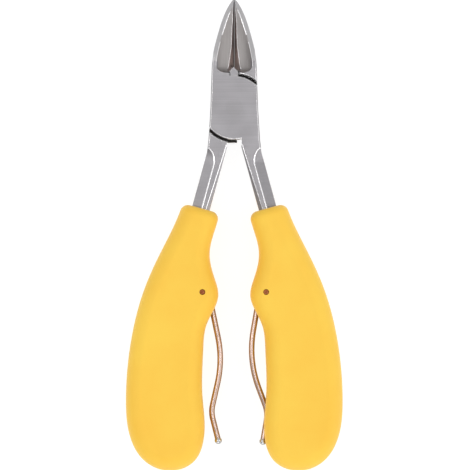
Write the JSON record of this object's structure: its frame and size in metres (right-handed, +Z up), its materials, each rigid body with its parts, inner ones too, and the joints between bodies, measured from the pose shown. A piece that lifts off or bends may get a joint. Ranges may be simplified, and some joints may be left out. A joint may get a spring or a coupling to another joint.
{
  "type": "nail nipper",
  "caption": "Lap-joint nail nipper with hollow-ground pointed jaws, soft matte handles and ball-ended bow wire springs that swing on pins in the handles.",
  "frame": {"origin": "centre of the overall box on the surface the nipper lies on", "axes": "+Y from the handle ends to the jaw tips, +Z up out of the front face, +X towards the right handle"},
  "size_m": [0.0598, 0.13, 0.015],
  "materials": {
    "jaw_steel": "satin, finely brushed",
    "rivet_steel": "satin, ground flush",
    "grip_yellow": "matte soft touch",
    "core_plastic": "moulded",
    "pin_steel": "turned",
    "spring_wire": "polished, warm tint",
    "ball_steel": "polished"
  },
  "bodies": {
    "right_half": {"front_lever": "jaw_steel", "pivot_rivet": "rivet_steel", "right_handle_core": "core_plastic", "right_grip_cover": "grip_yellow", "right_spring_pin": "pin_steel"},
    "left_half": {"back_lever": "jaw_steel", "left_handle_core": "core_plastic", "left_grip_cover": "grip_yellow", "left_spring_pin": "pin_steel"},
    "left_spring": {"left_spring_wire": "spring_wire", "left_spring_ball": "ball_steel"},
    "right_spring": {"right_spring_wire": "spring_wire", "right_spring_ball": "ball_steel"}
  },
  "joints": [
    {"name": "jaw_pivot", "type": "hinge", "parent": "right_half", "child": "left_half", "pos_m": [0, 0.0351, 0.0075], "axis": [0, 0, -1], "range_deg": [0, 30]},
    {"name": "left_spring_swing", "type": "hinge", "parent": "left_half", "child": "left_spring", "pos_m": [-0.00877, -0.01568, 0.0075], "axis": [0, 0, 1], "range_deg": [-4.9, 4.6]},
    {"name": "right_spring_swing", "type": "hinge", "parent": "right_half", "child": "right_spring", "pos_m": [0.00877, -0.01568, 0.0075], "axis": [0, 0, -1], "range_deg": [0, 9.5]}
  ]
}
